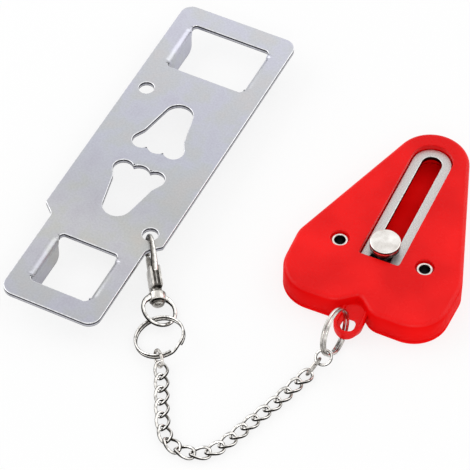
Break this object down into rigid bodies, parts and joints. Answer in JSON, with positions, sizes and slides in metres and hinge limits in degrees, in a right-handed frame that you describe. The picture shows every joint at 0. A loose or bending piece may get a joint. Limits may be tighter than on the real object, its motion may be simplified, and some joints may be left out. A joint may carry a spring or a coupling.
{
  "type": "portable door lock",
  "caption": "Portable door lock: claw-backed strike plate chained to a flat red lock body with a sliding knob in a long metal-lined slot.",
  "frame": {"origin": "centre of the strike plate on its back face", "axes": "+X across the plate towards the lock, +Y along the plate towards its wide end, +Z out of the plate's front face"},
  "size_m": [0.1419, 0.1735, 0.0169],
  "materials": {
    "zinc_plate": "satin zinc plating",
    "nickel_casting": "bright nickel plating",
    "steel_pin": "plain turned steel",
    "spring_wire": "drawn spring wire",
    "nickel_ring": "bright nickel plating",
    "nickel_connector": "bright nickel plating",
    "nickel_link": "bright nickel plating",
    "red_shell": "glossy moulded red",
    "steel_rail": "fine sanded steel",
    "nickel_rivet": "nickel plating",
    "satin_knob": "satin nickel plating",
    "steel_shoe": "plain turned steel",
    "spring_steel_washer": "dark spring steel"
  },
  "bodies": {
    "plate": {"strike_plate": "zinc_plate"},
    "hook": {"snap_hook": "nickel_casting", "gate_pin": "steel_pin", "gate_spring": "spring_wire"},
    "gate": {"gate_lever": "nickel_casting"},
    "swivel": {"swivel_eye": "nickel_casting"},
    "key_ring": {"key_ring": "nickel_ring"},
    "connector_start": {"chain_connector_start": "nickel_connector"},
    "link_01": {"chain_link_01": "nickel_link"},
    "link_02": {"chain_link_02": "nickel_link"},
    "link_03": {"chain_link_03": "nickel_link"},
    "link_04": {"chain_link_04": "nickel_link"},
    "link_05": {"chain_link_05": "nickel_link"},
    "link_06": {"chain_link_06": "nickel_link"},
    "link_07": {"chain_link_07": "nickel_link"},
    "link_08": {"chain_link_08": "nickel_link"},
    "link_09": {"chain_link_09": "nickel_link"},
    "link_10": {"chain_link_10": "nickel_link"},
    "link_11": {"chain_link_11": "nickel_link"},
    "link_12": {"chain_link_12": "nickel_link"},
    "link_13": {"chain_link_13": "nickel_link"},
    "link_14": {"chain_link_14": "nickel_link"},
    "link_15": {"chain_link_15": "nickel_link"},
    "link_16": {"chain_link_16": "nickel_link"},
    "link_17": {"chain_link_17": "nickel_link"},
    "link_18": {"chain_link_18": "nickel_link"},
    "connector_end": {"chain_connector_end": "nickel_connector"},
    "jump_ring": {"jump_ring": "nickel_ring"},
    "tab_ring": {"tab_ring": "nickel_ring"},
    "lock": {"lock_back_shell": "red_shell", "lock_front_shell": "red_shell", "guide_rail": "steel_rail", "rivet_left": "nickel_rivet", "rivet_right": "nickel_rivet"},
    "slide": {"slide_knob": "satin_knob", "slide_shoe": "steel_shoe", "slide_spring_washer": "spring_steel_washer"}
  },
  "joints": [
    {"name": "hook_swing", "type": "hinge", "parent": "plate", "child": "hook", "pos_m": [0.01552, -0.02989, 0.00014], "axis": [0, 0, 1], "range_deg": [-14, 20]},
    {"name": "gate_open", "type": "hinge", "parent": "hook", "child": "gate", "pos_m": [0.02383, -0.04229, -0.0046], "axis": [0.7869, 0.5928, -0.1713], "range_deg": [0, 14], "stiffness_Nm_per_rad": 0.0001, "springref_deg": -57.3},
    {"name": "swivel_turn", "type": "hinge", "parent": "hook", "child": "swivel", "pos_m": [0.02865, -0.04851, -0.00401], "axis": [0.5704, -0.8047, -0.1645], "range_deg": [-60, 60]},
    {"name": "key_ring_swing", "type": "hinge", "parent": "swivel", "child": "key_ring", "pos_m": [0.03216, -0.05505, -0.00569], "axis": [0, 0, 1], "range_deg": [-6, 15]},
    {"name": "connector_start_swing", "type": "hinge", "parent": "key_ring", "child": "connector_start", "pos_m": [0.03863, -0.06842, -0.00476], "axis": [0, 0, 1], "range_deg": [-6, 6]},
    {"name": "link_01_bend", "type": "hinge", "parent": "connector_start", "child": "link_01", "pos_m": [0.04156, -0.07075, -0.0065], "axis": [0, 0, 1], "range_deg": [-8, 8]},
    {"name": "link_02_bend", "type": "hinge", "parent": "link_01", "child": "link_02", "pos_m": [0.0441, -0.07516, -0.0065], "axis": [0, 0, -1], "range_deg": [-14, 14]},
    {"name": "link_03_bend", "type": "hinge", "parent": "link_02", "child": "link_03", "pos_m": [0.04648, -0.07968, -0.0065], "axis": [0, 0, 1], "range_deg": [-14, 14]},
    {"name": "link_04_bend", "type": "hinge", "parent": "link_03", "child": "link_04", "pos_m": [0.04885, -0.08419, -0.0065], "axis": [0, 0, -1], "range_deg": [-14, 14]},
    {"name": "link_05_bend", "type": "hinge", "parent": "link_04", "child": "link_05", "pos_m": [0.0513, -0.08866, -0.0065], "axis": [0, 0, 1], "range_deg": [-14, 14]},
    {"name": "link_06_bend", "type": "hinge", "parent": "link_05", "child": "link_06", "pos_m": [0.05394, -0.09303, -0.0065], "axis": [0, 0, -1], "range_deg": [-14, 14]},
    {"name": "link_07_bend", "type": "hinge", "parent": "link_06", "child": "link_07", "pos_m": [0.05732, -0.09685, -0.0065], "axis": [0, 0, 1], "range_deg": [-14, 3.5]},
    {"name": "link_08_bend", "type": "hinge", "parent": "link_07", "child": "link_08", "pos_m": [0.06208, -0.09868, -0.0065], "axis": [0, 0, -1], "range_deg": [-3.5, 14]},
    {"name": "link_09_bend", "type": "hinge", "parent": "link_08", "child": "link_09", "pos_m": [0.06715, -0.09812, -0.0065], "axis": [0, 0, 1], "range_deg": [-14, 3.5]},
    {"name": "link_10_bend", "type": "hinge", "parent": "link_09", "child": "link_10", "pos_m": [0.0714, -0.0953, -0.0065], "axis": [0, 0, -1], "range_deg": [-7, 14]},
    {"name": "link_11_bend", "type": "hinge", "parent": "link_10", "child": "link_11", "pos_m": [0.07416, -0.09101, -0.0065], "axis": [0, 0, 1], "range_deg": [-14, 14]},
    {"name": "link_12_bend", "type": "hinge", "parent": "link_11", "child": "link_12", "pos_m": [0.07591, -0.08622, -0.0065], "axis": [0, 0, -1], "range_deg": [-14, 14]},
    {"name": "link_13_bend", "type": "hinge", "parent": "link_12", "child": "link_13", "pos_m": [0.07753, -0.08138, -0.0065], "axis": [0, 0, 1], "range_deg": [-14, 14]},
    {"name": "link_14_bend", "type": "hinge", "parent": "link_13", "child": "link_14", "pos_m": [0.07913, -0.07654, -0.0065], "axis": [0, 0, -1], "range_deg": [-14, 14]},
    {"name": "link_15_bend", "type": "hinge", "parent": "link_14", "child": "link_15", "pos_m": [0.08082, -0.07173, -0.0065], "axis": [0, 0, 1], "range_deg": [-14, 14]},
    {"name": "link_16_bend", "type": "hinge", "parent": "link_15", "child": "link_16", "pos_m": [0.08244, -0.0669, -0.0065], "axis": [0, 0, -1], "range_deg": [-14, 14]},
    {"name": "link_17_bend", "type": "hinge", "parent": "link_16", "child": "link_17", "pos_m": [0.08384, -0.06199, -0.0065], "axis": [0, 0, 1], "range_deg": [-14, 14]},
    {"name": "link_18_bend", "type": "hinge", "parent": "link_17", "child": "link_18", "pos_m": [0.08517, -0.05707, -0.0065], "axis": [0, 0, -1], "range_deg": [-14, 14]},
    {"name": "connector_end_swing", "type": "hinge", "parent": "link_18", "child": "connector_end", "pos_m": [0.0867, -0.05296, -0.00567], "axis": [0, 0, 1], "range_deg": [-8, 8]},
    {"name": "jump_ring_swing", "type": "hinge", "parent": "connector_end", "child": "jump_ring", "pos_m": [0.08873, -0.04912, -0.00421], "axis": [0, 0, -1], "range_deg": [-8, 8]},
    {"name": "tab_ring_swing", "type": "hinge", "parent": "jump_ring", "child": "tab_ring", "pos_m": [0.08923, -0.04559, -0.00272], "axis": [0, 0, 1], "range_deg": [-8, 8]},
    {"name": "lock_swing", "type": "hinge", "parent": "tab_ring", "child": "lock", "pos_m": [0.09053, -0.03327, -0.008], "axis": [0, 0, -1], "range_deg": [-8, 8]},
    {"name": "slide_travel", "type": "slide", "parent": "lock", "child": "slide", "axis": [-0.0349, 0.9994, 0], "range_m": [0, 0.042]}
  ]
}
